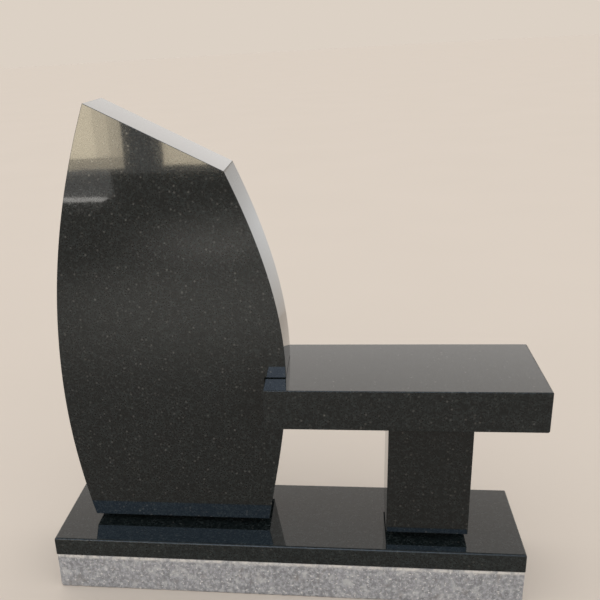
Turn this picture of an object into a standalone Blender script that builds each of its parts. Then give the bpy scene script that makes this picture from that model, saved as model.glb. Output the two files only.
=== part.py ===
"""Memorial bench of polished black granite: an upright curved tablet and a leg on a long plinth,
a seat slab let into the tablet's edge and resting on the leg, all on a rough grey base.

Metres, Z up. The origin is the centre of the base's underside. The front faces -Y.
"""

import math

import bmesh
import bpy
from mathutils import Matrix, Vector

# Base and plinth
PLINTH_LENGTH = 1.200
PLINTH_DEPTH = 0.305
PLINTH_THICKNESS = 0.051
BASE_HEIGHT = 0.102

# The tablet and the seat are centred on a line a little behind the plinth's own centre
SETTING_LINE_Y = 0.024
SETTING_HEIGHT = 0.018
TABLET_BED_INSET_X = 0.040
TABLET_BED_INSET_Y = 0.040
LEG_BED_INSET = 0.040

# Tablet: a straight foot, a straight sloping top and two swelling sides
TABLET_THICKNESS = 0.157
TABLET_FOOT_INSET = 0.091
TABLET_FOOT_WIDTH = 0.4735
TABLET_HEIGHT = 1.069
TABLET_TOP_WIDTH = 0.310
TABLET_TOP_FALL = 0.1595
TABLET_TOP_INSET = 0.091
LEFT_SWELL = 0.0445
RIGHT_SWELL = 0.054
# Where each side is widest, as a share of that side's height
LEFT_WIDEST_SHARE = 0.360
RIGHT_WIDEST_SHARE = 0.453
# Sideways run for each unit of height where a side leaves the foot and where it reaches the top
LEFT_FOOT_LEAN = 0.225
LEFT_TOP_LEAN = 0.410
RIGHT_FOOT_LEAN = 0.165
RIGHT_TOP_LEAN = 0.450

# Seat slab
SEAT_LENGTH = 0.661
SEAT_DEPTH = 0.307
SEAT_THICKNESS = 0.102
SEAT_HEIGHT = 0.423
SEAT_LET_IN = 0.0505

# Leg, set back a little from the seat's front face and right end
LEG_WIDTH = 0.200
LEG_DEPTH = 0.152
LEG_SETBACK = 0.031
SEAT_END_OVERHANG = 0.1635

# Joints, clearances and eased edges
REST_GAP = 0.0003
NOTCH_TOP_CLEARANCE = 0.003
NOTCH_END_CLEARANCE = 0.002
POLISHED_ARRIS = 0.002
PLINTH_TOP_ARRIS = 0.005
BASE_ARRIS = 0.003
ARRIS_SEGMENTS = 2
SIDE_STEPS = 20
SHARP_ANGLE = math.radians(30)
CUTTER_OVERSHOOT = 0.02
WELD_DISTANCE = 0.00005

# Derived levels
plinth_underside = BASE_HEIGHT + REST_GAP
plinth_top = BASE_HEIGHT + PLINTH_THICKNESS
foot_level = plinth_top + SETTING_HEIGHT
seat_top = plinth_top + SEAT_HEIGHT
seat_underside = seat_top - SEAT_THICKNESS


def clear_scene():
    for obj in list(bpy.data.objects):
        bpy.data.objects.remove(obj, do_unlink=True)


def new_collection(name):
    collection = bpy.data.collections.new(name)
    bpy.context.scene.collection.children.link(collection)
    return collection


def stone(name, colour, roughness):
    material = bpy.data.materials.new(name)
    material.use_nodes = True
    shader = material.node_tree.nodes["Principled BSDF"]
    shader.inputs["Base Color"].default_value = (*colour, 1.0)
    shader.inputs["Roughness"].default_value = roughness
    shader.inputs["Metallic"].default_value = 0.0
    material.diffuse_color = (*colour, 1.0)
    return material


def place(mesh, name, collection, material):
    obj = bpy.data.objects.new(name, mesh)
    collection.objects.link(obj)
    if material is not None:
        mesh.materials.append(material)
    mesh.shade_smooth()
    mesh.set_sharp_from_angle(angle=SHARP_ANGLE)
    return obj


def block_mesh(name, low, high):
    """A box between two opposite corners."""
    low, high = Vector(low), Vector(high)
    size = high - low
    shape = bmesh.new()
    bmesh.ops.create_cube(shape, size=1.0)
    bmesh.ops.transform(
        shape,
        matrix=Matrix.Translation((low + high) / 2) @ Matrix.Diagonal((*size, 1.0)),
        verts=shape.verts,
    )
    mesh = bpy.data.meshes.new(name)
    shape.to_mesh(mesh)
    shape.free()
    return mesh


def ease_edges(obj, width):
    bevel = obj.modifiers.new("eased_edges", "BEVEL")
    bevel.width = width
    bevel.segments = ARRIS_SEGMENTS
    bevel.limit_method = "ANGLE"
    bevel.angle_limit = SHARP_ANGLE
    bevel.use_clamp_overlap = True
    return bevel


def ease_block(obj, top_width, other_width):
    """Eases the edges round a block's top face by one width and its other edges by another."""
    widest = max(top_width, other_width)
    mesh = obj.data
    top = max(vertex.co.z for vertex in mesh.vertices)
    weights = mesh.attributes.new("bevel_weight_edge", "FLOAT", "EDGE")
    for edge, weight in zip(mesh.edges, weights.data):
        lowest = min(mesh.vertices[corner].co.z for corner in edge.vertices)
        around_top = top - lowest < WELD_DISTANCE
        weight.value = (top_width if around_top else other_width) / widest
    ease_edges(obj, widest).limit_method = "WEIGHT"


def swelling_side(foot, top, swell, widest_share, foot_lean, top_lean, outward):
    """Points up one side of the tablet, from its foot to its top corner.

    The side is upright where the tablet is widest.
    """
    height = top.y - foot.y
    widest = Vector((foot.x + outward * swell, foot.y + widest_share * height))
    points = []
    for start, end, start_lean, end_lean in (
        (foot, widest, foot_lean, 0.0),
        (widest, top, 0.0, -top_lean),
    ):
        reach = (end.y - start.y) / 3
        first = start + Vector((outward * start_lean * reach, reach))
        second = end - Vector((outward * end_lean * reach, reach))
        for step in range(SIDE_STEPS):
            t = step / SIDE_STEPS
            u = 1 - t
            points.append(
                u**3 * start + 3 * u**2 * t * first + 3 * u * t**2 * second + t**3 * end
            )
    points.append(top)
    return points


def upright_slab_mesh(name, outline, thickness, y_centre):
    """A flat outline, drawn as seen from the front, filled and given a thickness."""
    curve = bpy.data.curves.new(name + "_outline", "CURVE")
    curve.dimensions = "2D"
    curve.fill_mode = "BOTH"
    curve.extrude = thickness / 2
    spline = curve.splines.new("POLY")
    spline.points.add(len(outline) - 1)
    for point, place_at in zip(spline.points, outline):
        point.co = (place_at.x, place_at.y, 0.0, 1.0)
    spline.use_cyclic_u = True
    drawn = bpy.data.objects.new(name + "_outline", curve)
    bpy.context.scene.collection.objects.link(drawn)
    drawn.matrix_world = Matrix.Translation((0, y_centre, 0)) @ Matrix.Rotation(
        math.pi / 2, 4, "X"
    )
    bpy.context.view_layer.update()
    graph = bpy.context.evaluated_depsgraph_get()
    mesh = bpy.data.meshes.new_from_object(drawn.evaluated_get(graph))
    mesh.transform(drawn.matrix_world)
    bpy.data.objects.remove(drawn, do_unlink=True)
    mesh.name = name
    shape = bmesh.new()
    shape.from_mesh(mesh)
    bmesh.ops.remove_doubles(shape, verts=shape.verts, dist=WELD_DISTANCE)
    bmesh.ops.recalc_face_normals(shape, faces=shape.faces)
    shape.to_mesh(mesh)
    shape.free()
    return mesh


clear_scene()
parts = new_collection("memorial_bench")
cutters = new_collection("cutters")
cutters.hide_render = True

base_grey = stone("base_rough_grey_granite", (0.24, 0.23, 0.22), 0.80)
plinth_black = stone("plinth_black_granite", (0.020, 0.020, 0.019), 0.12)
tablet_black = stone("tablet_black_granite", (0.020, 0.020, 0.019), 0.12)
seat_black = stone("seat_black_granite", (0.021, 0.021, 0.020), 0.14)
leg_black = stone("leg_black_granite", (0.020, 0.020, 0.019), 0.12)
tablet_mortar = stone("tablet_setting_mortar", (0.012, 0.012, 0.012), 0.90)
leg_mortar = stone("leg_setting_mortar", (0.012, 0.012, 0.012), 0.90)

# Base, cut flat underneath, and the plinth flush with it
plinth_right = PLINTH_LENGTH / 2
plinth_back = PLINTH_DEPTH / 2
base = place(
    block_mesh(
        "base",
        (-plinth_right, -plinth_back, 0),
        (plinth_right, plinth_back, BASE_HEIGHT),
    ),
    "base",
    parts,
    base_grey,
)
ease_edges(base, BASE_ARRIS)
plinth = place(
    block_mesh(
        "plinth",
        (-plinth_right, -plinth_back, plinth_underside),
        (plinth_right, plinth_back, plinth_top),
    ),
    "plinth",
    parts,
    plinth_black,
)
ease_block(plinth, PLINTH_TOP_ARRIS, POLISHED_ARRIS)

# Tablet
foot_left = Vector((-plinth_right + TABLET_FOOT_INSET, foot_level))
foot_right = foot_left + Vector((TABLET_FOOT_WIDTH, 0))
top_left = foot_left + Vector((TABLET_TOP_INSET, TABLET_HEIGHT))
top_right = top_left + Vector((TABLET_TOP_WIDTH, -TABLET_TOP_FALL))
left_side = swelling_side(
    foot_left, top_left, LEFT_SWELL, LEFT_WIDEST_SHARE, LEFT_FOOT_LEAN, LEFT_TOP_LEAN, -1
)
right_side = swelling_side(
    foot_right, top_right, RIGHT_SWELL, RIGHT_WIDEST_SHARE, RIGHT_FOOT_LEAN, RIGHT_TOP_LEAN, 1
)
tablet = place(
    upright_slab_mesh(
        "tablet",
        right_side + left_side[::-1],
        TABLET_THICKNESS,
        SETTING_LINE_Y,
    ),
    "tablet",
    parts,
    tablet_black,
)
tablet_front = SETTING_LINE_Y - TABLET_THICKNESS / 2
tablet_back = SETTING_LINE_Y + TABLET_THICKNESS / 2

# Seat slab, let into the tablet's right edge, and the notch it lies in
tablet_widest_x = foot_right.x + RIGHT_SWELL
seat_left = tablet_widest_x - SEAT_LET_IN
seat_right = seat_left + SEAT_LENGTH
seat_front = SETTING_LINE_Y - SEAT_DEPTH / 2
seat_back = SETTING_LINE_Y + SEAT_DEPTH / 2
seat = place(
    block_mesh(
        "seat",
        (seat_left, seat_front, seat_underside),
        (seat_right, seat_back, seat_top),
    ),
    "seat",
    parts,
    seat_black,
)
ease_edges(seat, POLISHED_ARRIS)
notch_cutter = place(
    block_mesh(
        "notch_cutter",
        (
            seat_left - NOTCH_END_CLEARANCE,
            tablet_front - CUTTER_OVERSHOOT,
            seat_underside - REST_GAP,
        ),
        (
            tablet_widest_x + CUTTER_OVERSHOOT,
            tablet_back + CUTTER_OVERSHOOT,
            seat_top + NOTCH_TOP_CLEARANCE,
        ),
    ),
    "notch_cutter",
    cutters,
    None,
)
notch_cutter.hide_render = True
notch_cutter.display_type = "WIRE"
notch = tablet.modifiers.new("seat_notch", "BOOLEAN")
notch.operation = "DIFFERENCE"
notch.solver = "EXACT"
notch.object = notch_cutter
ease_edges(tablet, POLISHED_ARRIS)

# Leg under the free end of the seat
leg_right = seat_right - SEAT_END_OVERHANG
leg_left = leg_right - LEG_WIDTH
leg_front = seat_front + LEG_SETBACK
leg_back = leg_front + LEG_DEPTH
leg = place(
    block_mesh(
        "leg",
        (leg_left, leg_front, foot_level),
        (leg_right, leg_back, seat_underside - REST_GAP),
    ),
    "leg",
    parts,
    leg_black,
)
ease_edges(leg, POLISHED_ARRIS)

# Setting beds, set well back from the faces above them
bed_underside = plinth_top + REST_GAP
bed_top = foot_level - REST_GAP
place(
    block_mesh(
        "tablet_setting_bed",
        (
            foot_left.x + TABLET_BED_INSET_X,
            tablet_front + TABLET_BED_INSET_Y,
            bed_underside,
        ),
        (
            foot_right.x - TABLET_BED_INSET_X,
            tablet_back - TABLET_BED_INSET_Y,
            bed_top,
        ),
    ),
    "tablet_setting_bed",
    parts,
    tablet_mortar,
)
place(
    block_mesh(
        "leg_setting_bed",
        (leg_left + LEG_BED_INSET, leg_front + LEG_BED_INSET, bed_underside),
        (leg_right - LEG_BED_INSET, leg_back - LEG_BED_INSET, bed_top),
    ),
    "leg_setting_bed",
    parts,
    leg_mortar,
)
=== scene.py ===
"""Looks of the memorial bench: polished black granite with fine flecks on a rough grey granite base.

Metres, Z up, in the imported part's own frame: the origin is under the middle of the base, the seat's free
end is towards +X and the front faces -Y. Every stone takes its place from the CAD node it stands for.
"""

import math

import bmesh
import bpy
from mathutils import Matrix, Vector, noise


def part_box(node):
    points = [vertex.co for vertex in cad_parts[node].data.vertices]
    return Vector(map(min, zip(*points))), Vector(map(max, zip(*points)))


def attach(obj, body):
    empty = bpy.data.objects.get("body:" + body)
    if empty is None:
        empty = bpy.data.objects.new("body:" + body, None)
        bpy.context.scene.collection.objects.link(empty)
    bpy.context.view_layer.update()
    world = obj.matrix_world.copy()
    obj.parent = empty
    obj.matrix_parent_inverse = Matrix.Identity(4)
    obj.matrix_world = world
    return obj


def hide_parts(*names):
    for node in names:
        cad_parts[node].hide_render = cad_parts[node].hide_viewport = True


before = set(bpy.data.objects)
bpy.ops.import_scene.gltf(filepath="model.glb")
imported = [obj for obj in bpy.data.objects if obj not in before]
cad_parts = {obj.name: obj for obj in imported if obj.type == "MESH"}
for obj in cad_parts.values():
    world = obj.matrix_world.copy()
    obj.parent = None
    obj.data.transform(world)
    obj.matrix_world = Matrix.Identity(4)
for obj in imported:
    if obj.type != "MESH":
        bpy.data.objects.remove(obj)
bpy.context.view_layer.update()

# The photograph's camera, solved from the bench's straight edges
PHOTO_SIDE = 600
FOCAL_PIXELS = 809.2
AXIS_PIXEL_X = 222.7
AXIS_PIXEL_Y = 361.9
CAMERA_PLACE = Vector((0.1643, -1.8743, 1.3647))
CAMERA_TILT_DOWN = math.radians(22.009)
CAMERA_TURN_LEFT = math.radians(9.364)
CAMERA_ROLL = math.radians(3.430)
SENSOR_WIDTH = 36.0
NEAREST_SEEN = 0.05
FARTHEST_SEEN = 200.0

# Tablet outline, as it was built
TABLET_FOOT_WIDTH = 0.4735
TABLET_HEIGHT = 1.069
TABLET_TOP_WIDTH = 0.310
TABLET_TOP_FALL = 0.1595
TABLET_TOP_INSET = 0.091
LEFT_SWELL = 0.0445
RIGHT_SWELL = 0.054
LEFT_WIDEST_SHARE = 0.360
RIGHT_WIDEST_SHARE = 0.453
LEFT_FOOT_LEAN = 0.225
LEFT_TOP_LEAN = 0.410
RIGHT_FOOT_LEAN = 0.165
RIGHT_TOP_LEAN = 0.450
SIDE_STEPS = 56

# Joints and eased edges
JOINT_GAP = 0.0003
NOTCH_TOP_CLEARANCE = 0.0015
NOTCH_END_CLEARANCE = 0.002
POLISHED_ARRIS = 0.002
PLINTH_TOP_ARRIS = 0.005
SEAT_END_ARRIS = 0.005
ARRIS_SEGMENTS = 4
SHARP_ANGLE = math.radians(30)
LARGEST_FACE_WEIGHT = 100
CUTTER_OVERSHOOT = 0.02

# Rough sawn base
BASE_CELL = 0.0045
BASE_EDGE_ROUNDING = Vector((0.007, 0.007, 0.005))
SAWN_RELIEF = 0.0009
SAWN_FREQUENCY = 260
PITCHED_RELIEF = 0.0014
PITCHED_FREQUENCY = 38
PITCHED_SHIFT = Vector((7, 3, 1))
WEAR_FREQUENCY = 90
FACE_TOLERANCE = 1e-6


def add_object(name, mesh, *materials):
    obj = bpy.data.objects.new(name, mesh)
    bpy.context.scene.collection.objects.link(obj)
    for material in materials:
        mesh.materials.append(material)
    return obj


def stand_for(obj, node):
    """Makes a piece ride with the bench in place of its CAD node."""
    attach(obj, "root")
    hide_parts(node)


# Meshes


def box_mesh(name, low, high):
    shape = bmesh.new()
    bmesh.ops.create_cube(shape, size=1.0)
    middle = Matrix.Translation((low + high) / 2)
    bmesh.ops.transform(
        shape, matrix=middle @ Matrix.Diagonal((*(high - low), 1.0)), verts=shape.verts
    )
    mesh = bpy.data.meshes.new(name)
    shape.to_mesh(mesh)
    shape.free()
    return mesh


def smooth_and_ease(obj, width, by_weight=False):
    """Rounds the edges into a narrow arris with the second material, and keeps the flat faces flat."""
    obj.data.shade_smooth()
    bevel = obj.modifiers.new("arris", "BEVEL")
    bevel.width = width
    bevel.segments = ARRIS_SEGMENTS
    bevel.limit_method = "WEIGHT" if by_weight else "ANGLE"
    bevel.angle_limit = SHARP_ANGLE
    bevel.material = 1
    normals = obj.modifiers.new("flat_faces", "WEIGHTED_NORMAL")
    normals.weight = LARGEST_FACE_WEIGHT
    normals.keep_sharp = True


def ease_some_more(obj, width, is_wide):
    """Rounds the edges whose two ends are picked to the full width, and the others as usual."""
    weights = obj.data.attributes.new("bevel_weight_edge", "FLOAT", "EDGE")
    for edge, weight in zip(obj.data.edges, weights.data):
        ends = [obj.data.vertices[index].co for index in edge.vertices]
        weight.value = 1.0 if all(is_wide(end) for end in ends) else POLISHED_ARRIS / width
    smooth_and_ease(obj, width, by_weight=True)


def cut_away(obj, cutter):
    """Takes the cutter's shape out of the object for good, and removes the cutter."""
    cut = obj.modifiers.new("cut", "BOOLEAN")
    cut.operation = "DIFFERENCE"
    cut.solver = "EXACT"
    cut.object = cutter
    bpy.context.view_layer.update()
    whole = obj.data
    solved = obj.evaluated_get(bpy.context.evaluated_depsgraph_get())
    obj.data = bpy.data.meshes.new_from_object(solved)
    obj.modifiers.remove(cut)
    bpy.data.objects.remove(cutter)
    bpy.data.meshes.remove(whole)


def side_points(foot, top, swell, widest_share, foot_lean, top_lean, outward):
    """One side of the tablet from its foot to its top corner, upright where the tablet is widest."""
    height = top.y - foot.y
    widest = Vector((foot.x + outward * swell, foot.y + widest_share * height))
    points = []
    for start, end, start_lean, end_lean in (
        (foot, widest, foot_lean, 0.0),
        (widest, top, 0.0, -top_lean),
    ):
        reach = (end.y - start.y) / 3
        first = start + Vector((outward * start_lean * reach, reach))
        second = end - Vector((outward * end_lean * reach, reach))
        for step in range(SIDE_STEPS):
            t = step / SIDE_STEPS
            u = 1 - t
            points.append(
                u**3 * start + 3 * u**2 * t * first + 3 * u * t**2 * second + t**3 * end
            )
    points.append(top)
    return points


def slab_mesh(name, outline, front, back):
    """A flat outline, drawn in X and Z, given the depth between two planes."""
    shape = bmesh.new()
    corners = [shape.verts.new((point.x, front, point.y)) for point in outline]
    face = shape.faces.new(corners)
    grown = bmesh.ops.extrude_face_region(shape, geom=[face])
    moved = [part for part in grown["geom"] if isinstance(part, bmesh.types.BMVert)]
    bmesh.ops.translate(shape, verts=moved, vec=(0, back - front, 0))
    bmesh.ops.recalc_face_normals(shape, faces=shape.faces)
    mesh = bpy.data.meshes.new(name)
    shape.to_mesh(mesh)
    shape.free()
    return mesh


def rough_block_mesh(name, low, high, cell):
    """A block whose sides are rough: a fine grid over each face, pushed inwards by layered noise."""
    size = high - low
    shape = bmesh.new()
    steps = [max(2, round(length / cell)) for length in size]
    made = {}

    def corner(i, j, k):
        key = (i, j, k)
        if key not in made:
            share = Vector((i / steps[0], j / steps[1], k / steps[2]))
            made[key] = shape.verts.new([low[a] + size[a] * share[a] for a in range(3)])
        return made[key]

    for axis in range(3):
        across, along = (axis + 1) % 3, (axis + 2) % 3
        for end in (0, steps[axis]):
            for i in range(steps[across]):
                for j in range(steps[along]):
                    ring = []
                    for di, dj in ((0, 0), (1, 0), (1, 1), (0, 1)):
                        index = [0, 0, 0]
                        index[axis] = end
                        index[across] = i + di
                        index[along] = j + dj
                        ring.append(corner(*index))
                    shape.faces.new(ring if end else ring[::-1])
    middle = (low + high) / 2
    half = size / 2
    for vertex in shape.verts:
        place = vertex.co.copy()
        inward = Vector((0, 0, 0))
        for axis in (0, 1):
            if abs(place[axis] - middle[axis]) > half[axis] - FACE_TOLERANCE:
                inward[axis] = -math.copysign(1, place[axis] - middle[axis])
        sawn = noise.fractal(place * SAWN_FREQUENCY, 0.9, 2.2, 3) + 0.5
        broad = noise.noise(place * PITCHED_FREQUENCY + PITCHED_SHIFT) + 0.5
        depth = SAWN_RELIEF * max(0, sawn) * 0.5 + PITCHED_RELIEF * max(0, broad) * 0.5
        # The edges and corners are worn back in a small uneven round
        rounding = BASE_EDGE_ROUNDING * (0.8 + 0.4 * noise.noise(place * WEAR_FREQUENCY))
        core = Vector(
            [
                min(max(place[a], low[a] + rounding[a]), high[a] - rounding[a])
                for a in range(3)
            ]
        )
        reach = Vector([(place[a] - core[a]) / rounding[a] for a in range(3)]).normalized()
        worn = core + Vector([reach[a] * rounding[a] for a in range(3)])
        vertex.co = worn + inward * depth
    mesh = bpy.data.meshes.new(name)
    shape.to_mesh(mesh)
    shape.free()
    mesh.shade_smooth()
    return mesh


# Materials


class Nodes:
    """Short calls for building one material's node tree."""

    def __init__(self, name):
        self.material = bpy.data.materials.new(name)
        self.material.use_nodes = True
        self.tree = self.material.node_tree
        self.shader = self.tree.nodes["Principled BSDF"]
        self.place = self.add("ShaderNodeTexCoord").outputs["Object"]

    def add(self, kind, **values):
        node = self.tree.nodes.new(kind)
        for name, value in values.items():
            setattr(node, name, value)
        return node

    def wire(self, source, target):
        self.tree.links.new(source, target)

    def shift(self, offset, stretch=(1, 1, 1)):
        mapping = self.add("ShaderNodeMapping")
        mapping.inputs["Location"].default_value = offset
        mapping.inputs["Scale"].default_value = stretch
        self.wire(self.place, mapping.inputs["Vector"])
        return mapping.outputs["Vector"]

    def height(self):
        split = self.add("ShaderNodeSeparateXYZ")
        self.wire(self.place, split.inputs["Vector"])
        return split.outputs["Z"]

    def noise(self, where, scale, detail=2.0, roughness=0.5):
        node = self.add("ShaderNodeTexNoise")
        node.inputs["Scale"].default_value = scale
        node.inputs["Detail"].default_value = detail
        node.inputs["Roughness"].default_value = roughness
        self.wire(where, node.inputs["Vector"])
        return node.outputs["Fac"]

    def cells(self, where, scale, feature="F1"):
        node = self.add("ShaderNodeTexVoronoi", feature=feature)
        node.inputs["Scale"].default_value = scale
        self.wire(where, node.inputs["Vector"])
        return node

    def chance(self, cells):
        """Two random numbers from 0 to 1 for each cell."""
        split = self.add("ShaderNodeSeparateColor")
        self.wire(cells.outputs["Color"], split.inputs["Color"])
        return split.outputs["Red"], split.outputs["Green"]

    def remap(self, value, low, high, to_low=0.0, to_high=1.0):
        node = self.add("ShaderNodeMapRange", clamp=True)
        node.inputs["From Min"].default_value = low
        node.inputs["From Max"].default_value = high
        node.inputs["To Min"].default_value = to_low
        node.inputs["To Max"].default_value = to_high
        self.wire(value, node.inputs["Value"])
        return node.outputs["Result"]

    def math(self, operation, first, second):
        node = self.add("ShaderNodeMath", operation=operation)
        for socket, value in zip(node.inputs, (first, second)):
            if isinstance(value, (int, float)):
                socket.default_value = value
            else:
                self.wire(value, socket)
        return node.outputs["Value"]

    def mix(self, share, first, second):
        node = self.add("ShaderNodeMix", data_type="RGBA")
        factor, a, b = node.inputs["Factor"], node.inputs[6], node.inputs[7]
        for socket, value in ((factor, share), (a, first), (b, second)):
            if isinstance(value, (int, float)):
                socket.default_value = value
            elif isinstance(value, tuple):
                socket.default_value = (*value, 1.0)
            else:
                self.wire(value, socket)
        return node.outputs[2]

    def bump(self, height, distance, strength=1.0, after=None):
        node = self.add("ShaderNodeBump")
        node.inputs["Strength"].default_value = strength
        node.inputs["Distance"].default_value = distance
        self.wire(height, node.inputs["Height"])
        if after is not None:
            self.wire(after, node.inputs["Normal"])
        return node.outputs["Normal"]

    def finish(self, colour, roughness, normal, ior=1.5):
        self.wire(colour, self.shader.inputs["Base Color"])
        self.wire(roughness, self.shader.inputs["Roughness"])
        self.wire(normal, self.shader.inputs["Normal"])
        self.shader.inputs["IOR"].default_value = ior
        return self.material


GROUND_BLACK = (0.0019, 0.0034, 0.0040)
GROUND_GREY = (0.0152, 0.0202, 0.0211)
FLECK_SILVER = (0.088, 0.094, 0.095)
FLECK_GOLD = (0.100, 0.096, 0.086)
FINE_GRAIN_SCALE = 560
COARSE_GRAIN_SCALE = 250
GRAIN_CONTRAST = 1.9
MOTTLE_SCALE = 60
FLECK_LAYERS = (
    # cells per metre, fleck radius as a share of a cell, share of the cells that have one, strength
    (92, 0.33, 0.82, 0.90),
    (170, 0.42, 0.80, 0.36),
)
FLECK_RARITY = 2.6
FLECK_RAGGEDNESS = 9
FLECK_ROUGHNESS = 0.10
HAZE_SCALE = 7.0
RIPPLE_SCALE = 14.0
RIPPLE_HEIGHT = 0.00004
PORE_HEIGHT = 0.000004
DULL_GREY_AND_HIGHLIGHT = (0.10, 0.10, 0.098)
# roughness, share of dull grey in the colour (on the eased edges partly a painted highlight), refractive
# index
POLISHED_FINISH = (0.028, 0.0, 1.38)
EASED_FINISH = (0.32, 0.03, 1.30)
# place in the stone's pattern, strength of the ground, strength of the flecks
PLINTH_STONE = ((3.1, 0.4, 1.7), 1.5, 0.5)
SEAT_STONE = ((0.3, 5.2, 2.9), 1.2, 0.85)
LEG_STONE = ((7.7, 1.9, 0.6), 0.86, 0.72)
TABLET_STONE = ((1.3, 2.2, 4.1), 1.15, 0.95)


def black_granite(name, stone, finish):
    """Near-black crystalline ground with sparse silver and gold flecks."""
    offset, tone, sparkle = stone
    rough, dull_and_highlight_share, ior = finish
    n = Nodes(name)
    where = n.shift(offset)
    fine = n.chance(n.cells(where, FINE_GRAIN_SCALE))[0]
    coarse = n.chance(n.cells(where, COARSE_GRAIN_SCALE))[0]
    mottle = n.remap(n.noise(where, MOTTLE_SCALE, 3.0, 0.6), 0.3, 0.7)
    grains = n.math("ADD", n.math("MULTIPLY", fine, 0.4), n.math("MULTIPLY", coarse, 0.6))
    contrast = n.math("POWER", grains, GRAIN_CONTRAST)
    ground_share = n.math("MULTIPLY", contrast, n.math("ADD", mottle, 0.5))
    dark = tuple(tone * channel for channel in GROUND_BLACK)
    pale = tuple(tone * channel for channel in GROUND_GREY)
    colour = n.mix(ground_share, dark, pale)
    # Greys the colour towards a dull honed tone; on the eased edges this is partly a painted highlight
    # that widens the arris's glint
    if dull_and_highlight_share:
        colour = n.mix(dull_and_highlight_share, colour, DULL_GREY_AND_HIGHLIGHT)
    fleck_total = None
    for cells_a_metre, radius, share, strength in FLECK_LAYERS:
        cells = n.cells(where, cells_a_metre)
        picked, tint = n.chance(cells)
        outline = n.noise(where, cells_a_metre * FLECK_RAGGEDNESS, 1.0)
        ragged = n.math("MULTIPLY", n.math("SUBTRACT", outline, 0.5), radius)
        near = n.remap(
            n.math("ADD", cells.outputs["Distance"], ragged), radius * 0.15, radius, 1.0, 0.0
        )
        present = n.math("POWER", n.remap(picked, 1 - share, 1.0), FLECK_RARITY)
        fleck = n.math("MULTIPLY", n.math("MULTIPLY", near, present), strength * sparkle)
        colour = n.mix(fleck, colour, n.mix(tint, FLECK_SILVER, FLECK_GOLD))
        fleck_total = fleck if fleck_total is None else n.math("MAXIMUM", fleck_total, fleck)
    clouding = n.noise(where, HAZE_SCALE, 3.0, 0.6)
    haze = n.remap(clouding, 0.3, 0.75, rough * 0.8, rough * 1.35)
    roughness = n.math("ADD", haze, n.math("MULTIPLY", fleck_total, FLECK_ROUGHNESS))
    ripple = n.bump(n.noise(where, RIPPLE_SCALE, 1.0), RIPPLE_HEIGHT)
    pores = n.bump(fine, PORE_HEIGHT, after=ripple)
    return n.finish(colour, roughness, pores, ior)


BASE_STONE_PLACE = (2.0, 6.0, 3.0)
BASE_STONE_STRETCH = (1.0, 1.0, 0.8)
BASE_GROUND_DARK = (0.172, 0.179, 0.192)
BASE_GROUND_PALE = (0.224, 0.232, 0.248)
BASE_GROUND_SCALE = 22
# scale, detail and roughness of the noise, its values at none and at full, strength, colour
QUARTZ = (92, 3.0, 0.65, 0.43, 0.63, 1.0, (0.348, 0.360, 0.383))
FELDSPAR = (125, 3.0, 0.65, 0.57, 0.71, 1.0, (0.72, 0.71, 0.70))
PALE_CLOUDS = (44, 2.0, 0.5, 0.54, 0.70, 0.55, (0.495, 0.503, 0.515))
RUST = (34, 2.0, 0.5, 0.60, 0.74, 0.45, (0.175, 0.158, 0.140))
MICA_SCALE = 300
MICA_STRENGTH = 0.6
MICA_COLOUR = (0.130, 0.130, 0.134)
EDGE_WEAR_AND_HIGHLIGHT_HEIGHT = 0.0115
EDGE_CHIP_AND_HIGHLIGHT_SCALE = 70
EDGE_CHIP_AND_HIGHLIGHT_COLOUR = (0.60, 0.58, 0.55)
SAWN_ROUGHNESS_SCALE = 340
SAWN_GRAIN_SCALE = 320
SAWN_GRAIN_HEIGHT = 0.0012
MICA_GRAIN_HEIGHT = 0.0003


def patches(n, where, colour, kind):
    """Lays one kind of mineral patch over the colour, where its noise is high."""
    scale, detail, roughness, none, full, strength, tint = kind
    share = n.remap(n.noise(where, scale, detail, roughness), none, full, 0.0, strength)
    return n.mix(share, colour, tint)


def grey_granite(name, offset, top_edge):
    """Grey granite, rough sawn: pale feldspar, grey quartz, dark mica and a bruised upper edge, made
    lighter partly by chips and partly by a painted highlight of its rounded arris.
    """
    n = Nodes(name)
    where = n.shift(offset, BASE_STONE_STRETCH)
    elsewhere = n.shift(offset[::-1])
    broad = n.remap(n.noise(where, BASE_GROUND_SCALE, 3.0, 0.6), 0.35, 0.65)
    colour = n.mix(broad, BASE_GROUND_DARK, BASE_GROUND_PALE)
    colour = patches(n, where, colour, QUARTZ)
    colour = patches(n, elsewhere, colour, FELDSPAR)
    mica_cells = n.cells(where, MICA_SCALE)
    mica = n.math(
        "MULTIPLY",
        n.remap(n.chance(mica_cells)[0], 0.80, 0.90),
        n.remap(mica_cells.outputs["Distance"], 0.30, 0.50, 1.0, 0.0),
    )
    colour = n.mix(n.math("MULTIPLY", mica, MICA_STRENGTH), colour, MICA_COLOUR)
    colour = patches(n, elsewhere, colour, PALE_CLOUDS)
    colour = patches(n, where, colour, RUST)
    # A lighter band along the top edge: partly chipped, worn stone and partly a painted highlight where
    # the rounded arris catches the light
    edge = n.remap(n.height(), top_edge - EDGE_WEAR_AND_HIGHLIGHT_HEIGHT, top_edge - EDGE_WEAR_AND_HIGHLIGHT_HEIGHT / 3)
    chips_and_highlight = n.remap(n.noise(where, EDGE_CHIP_AND_HIGHLIGHT_SCALE, 3.0, 0.6), 0.36, 0.60, 0.15, 0.95)
    colour = n.mix(n.math("MULTIPLY", edge, chips_and_highlight), colour, EDGE_CHIP_AND_HIGHLIGHT_COLOUR)
    roughness = n.remap(n.noise(where, SAWN_ROUGHNESS_SCALE, 2.0), 0.3, 0.7, 0.62, 0.92)
    coarse = n.bump(n.noise(where, SAWN_GRAIN_SCALE, 3.0, 0.65), SAWN_GRAIN_HEIGHT, 0.8)
    fine = n.bump(n.chance(mica_cells)[1], MICA_GRAIN_HEIGHT, 0.5, after=coarse)
    return n.finish(colour, roughness, fine)


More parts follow.
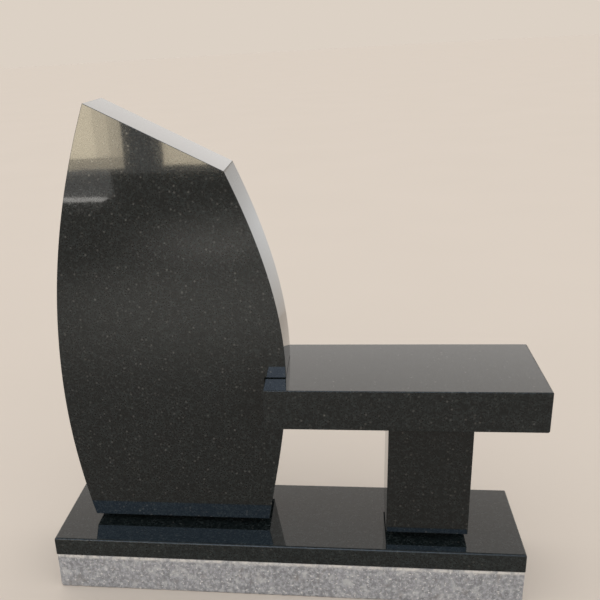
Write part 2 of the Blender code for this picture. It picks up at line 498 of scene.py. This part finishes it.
MORTAR_DARK = (0.018, 0.018, 0.018)
MORTAR_PALE = (0.045, 0.044, 0.042)
GRIT_SCALE = 420
GRIT_HEIGHT = 0.0008


def mortar(name, offset):
    """Dark setting compound, dull and gritty."""
    n = Nodes(name)
    where = n.shift(offset)
    grit = n.noise(where, GRIT_SCALE, 3.0, 0.7)
    colour = n.mix(n.remap(grit, 0.3, 0.7), MORTAR_DARK, MORTAR_PALE)
    roughness = n.remap(grit, 0.3, 0.7, 0.78, 0.97)
    return n.finish(colour, roughness, n.bump(grit, GRIT_HEIGHT, 0.8))


FLOOR_DARK = (0.628, 0.577, 0.522)
FLOOR_PALE = (0.637, 0.585, 0.530)
FLOOR_CLOUD_SCALE = 1.1
FLOOR_GRAIN_SCALE = 120
FLOOR_GRAIN_HEIGHT = 0.0001
# At an index of 1 the floor reflects nothing as a mirror would
FLOOR_IOR = 1.0


def backdrop_material():
    """A dull pale floor that mirrors nothing."""
    n = Nodes("pale_floor")
    broad = n.noise(n.place, FLOOR_CLOUD_SCALE, 2.0)
    colour = n.mix(n.remap(broad, 0.3, 0.7), FLOOR_DARK, FLOOR_PALE)
    roughness = n.remap(broad, 0.3, 0.7, 0.85, 0.92)
    grain = n.bump(n.noise(n.place, FLOOR_GRAIN_SCALE, 2.0), FLOOR_GRAIN_HEIGHT)
    return n.finish(colour, roughness, grain, FLOOR_IOR)


# Stones


def polished(piece, stone):
    """The face and arris materials of one polished stone."""
    return (
        black_granite(piece + "_polished_face", stone, POLISHED_FINISH),
        black_granite(piece + "_eased_edge", stone, EASED_FINISH),
    )


def polished_block(piece, node, stone):
    """A plain slab in the place of its CAD node, with its edges still sharp."""
    low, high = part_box(node)
    block = add_object(piece, box_mesh(piece, low, high), *polished(piece, stone))
    stand_for(block, node)
    return block


plinth = polished_block("plinth_slab", "plinth", PLINTH_STONE)
plinth_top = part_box("plinth")[1].z
ease_some_more(plinth, PLINTH_TOP_ARRIS, lambda point: point.z > plinth_top - JOINT_GAP)

seat = polished_block("seat_slab", "seat", SEAT_STONE)
seat_low, seat_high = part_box("seat")
ease_some_more(seat, SEAT_END_ARRIS, lambda point: point.x > seat_high.x - JOINT_GAP)

leg = polished_block("leg_block", "leg", LEG_STONE)
smooth_and_ease(leg, POLISHED_ARRIS)

tablet_low, tablet_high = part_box("tablet")
foot_left = Vector((tablet_low.x + LEFT_SWELL, tablet_low.z))
foot_right = foot_left + Vector((TABLET_FOOT_WIDTH, 0))
top_left = foot_left + Vector((TABLET_TOP_INSET, TABLET_HEIGHT))
top_right = top_left + Vector((TABLET_TOP_WIDTH, -TABLET_TOP_FALL))
right_side = side_points(
    foot_right, top_right, RIGHT_SWELL, RIGHT_WIDEST_SHARE, RIGHT_FOOT_LEAN, RIGHT_TOP_LEAN, 1
)
left_side = side_points(
    foot_left, top_left, LEFT_SWELL, LEFT_WIDEST_SHARE, LEFT_FOOT_LEAN, LEFT_TOP_LEAN, -1
)
tablet = add_object(
    "tablet_slab",
    slab_mesh("tablet_slab", right_side + left_side[::-1], tablet_low.y, tablet_high.y),
    *polished("tablet_slab", TABLET_STONE),
)
notch_low = Vector((seat_low.x, tablet_low.y, seat_low.z))
notch_low -= Vector((NOTCH_END_CLEARANCE, CUTTER_OVERSHOOT, JOINT_GAP))
notch_high = Vector((tablet_high.x, tablet_high.y, seat_high.z))
notch_high += Vector((CUTTER_OVERSHOOT, CUTTER_OVERSHOOT, NOTCH_TOP_CLEARANCE))
notch = add_object("seat_notch", box_mesh("seat_notch", notch_low, notch_high))
cut_away(tablet, notch)
smooth_and_ease(tablet, POLISHED_ARRIS)
stand_for(tablet, "tablet")

base_low, base_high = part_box("base")
base = add_object(
    "rough_base",
    rough_block_mesh("rough_base", base_low, base_high, BASE_CELL),
    grey_granite("rough_base_sawn_face", BASE_STONE_PLACE, base_high.z),
)
stand_for(base, "base")

for node, slot, offset in (
    ("tablet_setting_bed", "tablet_setting_mortar", (0, 0, 0)),
    ("leg_setting_bed", "leg_setting_mortar", (4, 4, 4)),
):
    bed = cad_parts[node]
    dull = mortar(node + "_mortar", offset)
    if bed.material_slots:
        bed.material_slots[0].material = dull
    else:
        bed.data.materials.append(dull)

# Floor and light

FLOOR_RADIUS = 60.0
FLOOR_SIDES = 96
floor_shape = bmesh.new()
bmesh.ops.create_circle(floor_shape, cap_ends=True, radius=FLOOR_RADIUS, segments=FLOOR_SIDES)
floor_mesh = bpy.data.meshes.new("floor")
floor_shape.to_mesh(floor_mesh)
floor_shape.free()
floor = add_object("floor", floor_mesh, backdrop_material())


WORLD_BRIGHTNESS = 2.0
WORLD_STOPS = (
    # sine of the height above the horizon, colour
    (0.0, (0.358, 0.319, 0.279)),
    (0.05, (0.358, 0.319, 0.279)),
    (0.19, (0.98, 0.945, 0.91)),
    (0.37, (0.832, 0.790, 0.752)),
    (0.45, (0.780, 0.733, 0.688)),
    (0.53, (0.690, 0.635, 0.588)),
    (0.62, (0.62, 0.585, 0.555)),
    (0.75, (0.42, 0.41, 0.40)),
    (1.0, (0.40, 0.40, 0.40)),
)


def soft_world():
    """A soft dome whose brightness changes only with height above the horizon."""
    world = bpy.data.worlds.new("soft_studio")
    world.use_nodes = True
    tree = world.node_tree
    background = tree.nodes["Background"]
    place = tree.nodes.new("ShaderNodeTexCoord")
    split = tree.nodes.new("ShaderNodeSeparateXYZ")
    ramp = tree.nodes.new("ShaderNodeValToRGB")
    tree.links.new(place.outputs["Generated"], split.inputs["Vector"])
    tree.links.new(split.outputs["Z"], ramp.inputs["Fac"])
    tree.links.new(ramp.outputs["Color"], background.inputs["Color"])
    stops = ramp.color_ramp.elements
    lowest, highest = stops
    lowest.color = (*WORLD_STOPS[0][1], 1.0)
    highest.color = (*WORLD_STOPS[-1][1], 1.0)
    for position, colour in WORLD_STOPS[1:-1]:
        stops.new(position).color = (*colour, 1.0)
    background.inputs["Strength"].default_value = WORLD_BRIGHTNESS
    bpy.context.scene.world = world


soft_world()


def facing(place, aim):
    """The turn of a lamp at one place that shines towards another."""
    return (Vector(aim) - Vector(place)).to_track_quat("-Z", "Y").to_euler()


def soft_panel(name, place, aim, width, height, colour, brightness):
    """A flat lamp that only mirrors show. Its brightness is its radiance, whatever its size."""
    lamp = bpy.data.lights.new(name, "AREA")
    lamp.shape = "RECTANGLE"
    lamp.size = width
    lamp.size_y = height
    lamp.color = colour
    lamp.energy = brightness * math.pi * width * height
    obj = bpy.data.objects.new(name, lamp)
    bpy.context.scene.collection.objects.link(obj)
    obj.location = place
    obj.rotation_euler = facing(place, aim)
    obj.visible_camera = False
    obj.visible_diffuse = False
    return obj


SEAT_AIM = (0.0, 0.0, 0.4)
HIGH_BLUE = (0.44, 0.66, 0.97)
LOW_BLUE = (0.62, 0.76, 1.0)
WARM = (1.0, 0.86, 0.62)
PALE_WARM = (1.0, 0.97, 0.92)
WARM_GREY = (1.0, 0.98, 0.96)
GREY = (1.0, 1.0, 0.98)
COOL = (0.85, 0.93, 1.0)
# Panels that overlap lie at slightly different depths, because two in one plane count only once
REFLECTED_PANELS = (
    # name, centre, aim, width, height, colour, brightness
    ("high_blue", (-0.55, -5.0, 3.75), SEAT_AIM, 5.6, 1.6, HIGH_BLUE, 10.5),
    ("low_blue", (-0.45, -5.0, 2.68), SEAT_AIM, 2.4, 0.6, LOW_BLUE, 17.0),
    ("warm_left", (-2.92, -7.0, 0.69), (-2.92, 0, 0.69), 1.36, 1.02, WARM, 11.0),
    ("warm_left_bright", (-3.00, -7.02, 0.69), (-3.00, 0, 0.69), 1.20, 1.02, WARM, 3.2),
    ("warm_left_brightest", (-3.08, -7.04, 0.69), (-3.08, 0, 0.69), 1.04, 1.02, WARM, 3.6),
    ("warm_left_foot", (-2.92, -7.0, 0.12), (-2.92, 0, 0.12), 1.36, 0.11, WARM, 7.2),
    ("warm_right", (-1.35, -7.0, 0.64), (-1.35, 0, 0.64), 0.90, 1.12, WARM, 13.0),
    ("grey_behind", (-2.05, -7.05, 0.62), (-2.05, 0, 0.62), 2.5, 1.24, GREY, 0.9),
    ("floor_streak", (-2.56, -5.53, 0.01), (-2.56, -5.53, 1), 1.04, 0.21, PALE_WARM, 10.0),
    ("grey_below", (-2.54, -5.62, 0.14), (-2.54, 0, 0.14), 1.08, 0.27, WARM_GREY, 1.35),
)
STREAK_TURN = math.radians(3)
panels = {panel[0]: soft_panel(*panel) for panel in REFLECTED_PANELS}
panels["floor_streak"].rotation_euler.z += STREAK_TURN

# A narrow beam, mirrored only in the tablet's right edge and fading towards the seat
EDGE_BEAM = ("edge_beam", (0.45, 2.45, 0.55), (-0.17, -0.47, 0.86), 1.2, 1.1, COOL, 0.0125)
EDGE_BEAM_SPREAD = math.radians(24)
soft_panel(*EDGE_BEAM).data.spread = EDGE_BEAM_SPREAD

POOL_COLOUR = (0.92, 0.97, 1.0)
POOL_LAMP_RADIUS = 0.3
POOL_SOFTNESS = 1.0
FLOOR_POOLS = (
    # name, lamp, aim on the floor, cone in degrees, energy
    ("near_pool", (-0.6, -2.5, 2.2), (-0.6, -2.5, 0), 68, 300),
    ("far_pool", (-0.70, -2.3, 2.0), (-0.72, -4.05, 0), 34, 720),
)


def floor_pool(name, place, aim, cone, energy):
    """A soft round of light on the floor in front, which the polished faces mirror."""
    lamp = bpy.data.lights.new(name, "SPOT")
    lamp.energy = energy
    lamp.spot_size = math.radians(cone)
    lamp.spot_blend = POOL_SOFTNESS
    lamp.shadow_soft_size = POOL_LAMP_RADIUS
    lamp.color = POOL_COLOUR
    obj = bpy.data.objects.new(name, lamp)
    bpy.context.scene.collection.objects.link(obj)
    obj.location = place
    obj.rotation_euler = facing(place, aim)
    obj.visible_camera = False


for pool in FLOOR_POOLS:
    floor_pool(*pool)


# Camera


def photo_camera():
    """The camera of the photograph, from its turn, tilt and roll and its off-centre axis."""
    turn, tilt, roll = CAMERA_TURN_LEFT, CAMERA_TILT_DOWN, CAMERA_ROLL
    ahead = Vector(
        (-math.sin(turn) * math.cos(tilt), math.cos(turn) * math.cos(tilt), -math.sin(tilt))
    )
    level_right = Vector((math.cos(turn), math.sin(turn), 0))
    level_down = ahead.cross(level_right)
    right = math.cos(roll) * level_right + math.sin(roll) * level_down
    down = math.cos(roll) * level_down - math.sin(roll) * level_right
    data = bpy.data.cameras.new("photo_camera")
    data.sensor_width = SENSOR_WIDTH
    data.lens = FOCAL_PIXELS * SENSOR_WIDTH / PHOTO_SIDE
    data.shift_x = 0.5 - AXIS_PIXEL_X / PHOTO_SIDE
    data.shift_y = AXIS_PIXEL_Y / PHOTO_SIDE - 0.5
    data.clip_start = NEAREST_SEEN
    data.clip_end = FARTHEST_SEEN
    camera = bpy.data.objects.new("photo_camera", data)
    bpy.context.scene.collection.objects.link(camera)
    turned = Matrix((right, -down, -ahead)).transposed().to_4x4()
    camera.matrix_world = Matrix.Translation(CAMERA_PLACE) @ turned
    return camera


bpy.context.scene.camera = photo_camera()
bpy.context.scene.view_settings.view_transform = "Standard"
